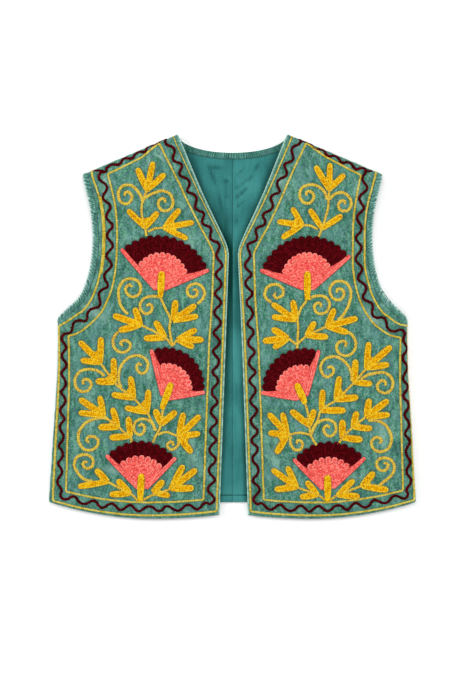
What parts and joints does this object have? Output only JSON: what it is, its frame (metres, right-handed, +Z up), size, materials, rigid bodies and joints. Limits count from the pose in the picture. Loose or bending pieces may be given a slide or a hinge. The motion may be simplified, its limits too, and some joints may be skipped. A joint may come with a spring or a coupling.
{
  "type": "embroidered velvet waistcoat laid flat",
  "caption": "Sleeveless open-front velvet waistcoat with a V neck, lying flat on its back, with raised fan flowers, vines and a zigzag border.",
  "frame": {"origin": "middle of the garment's outline, on the surface it lies on", "axes": "+X across the garment, +Y from hem to neck, +Z up from the surface, out of the fronts"},
  "size_m": [0.5246, 0.5493, 0.0152],
  "materials": {
    "velvet": "crushed velvet pile, soft sheen",
    "velvet_binding": "velvet pile, gathered",
    "lining": "plain cotton weave, matte",
    "thread_coral": "dense satin stitch",
    "thread_maroon": "dense satin stitch"
  },
  "bodies": {
    "root": {"back": "velvet", "back_lining_left": "lining", "back_lining_right": "lining", "neck_facing": "velvet_binding", "front_left": "velvet", "front_right": "velvet", "binding_front_left": "velvet_binding", "binding_front_right": "velvet_binding", "binding_back_left": "velvet_binding", "binding_back_right": "velvet_binding", "flower_cup_upper_left": "thread_coral", "flower_cup_middle_left": "thread_coral", "flower_cup_lower_left": "thread_coral", "flower_cup_upper_right": "thread_coral", "flower_cup_middle_right": "thread_coral", "flower_cup_lower_right": "thread_coral", "flower_crest_upper_left": "thread_maroon", "flower_crest_middle_left": "thread_maroon", "flower_crest_lower_left": "thread_maroon", "flower_crest_upper_right": "thread_maroon", "flower_crest_middle_right": "thread_maroon", "flower_crest_lower_right": "thread_maroon"}
  },
  "joints": []
}
